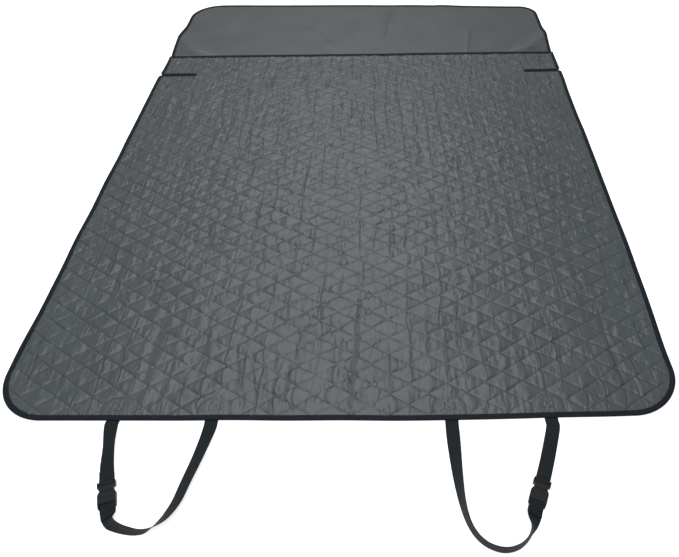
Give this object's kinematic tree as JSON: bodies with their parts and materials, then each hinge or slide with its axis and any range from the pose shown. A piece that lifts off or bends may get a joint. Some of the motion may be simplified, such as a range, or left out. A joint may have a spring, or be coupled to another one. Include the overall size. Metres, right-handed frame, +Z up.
{
  "type": "cargo liner",
  "caption": "Quilted cloth liner for a vehicle's cargo floor, with a bound edge, a plain bumper flap and buckled webbing straps.",
  "frame": {"origin": "on the underside of the quilted panel, at its middle", "axes": "+X across the liner, +Y from the strap end to the bumper flap, +Z up off the floor it lies on"},
  "size_m": [1.32, 2.0686, 0.0253],
  "materials": {
    "quilted_cloth": "matte woven",
    "flap_cloth": "matte woven",
    "binding_tape": "woven tape",
    "webbing": "woven webbing",
    "buckle_plastic": "moulded satin"
  },
  "bodies": {
    "root": {"quilted_panel": "quilted_cloth", "left_outer_patch": "quilted_cloth", "left_inner_patch": "quilted_cloth", "right_inner_patch": "quilted_cloth", "right_outer_patch": "quilted_cloth", "panel_binding": "binding_tape", "far_edge_binding": "binding_tape", "flap_binding": "binding_tape", "bumper_flap": "flap_cloth", "left_short_webbing": "webbing", "left_long_webbing": "webbing", "right_short_webbing": "webbing", "right_long_webbing": "webbing", "left_buckle_plug": "buckle_plastic", "left_buckle_socket": "buckle_plastic", "right_buckle_plug": "buckle_plastic", "right_buckle_socket": "buckle_plastic"}
  },
  "joints": []
}
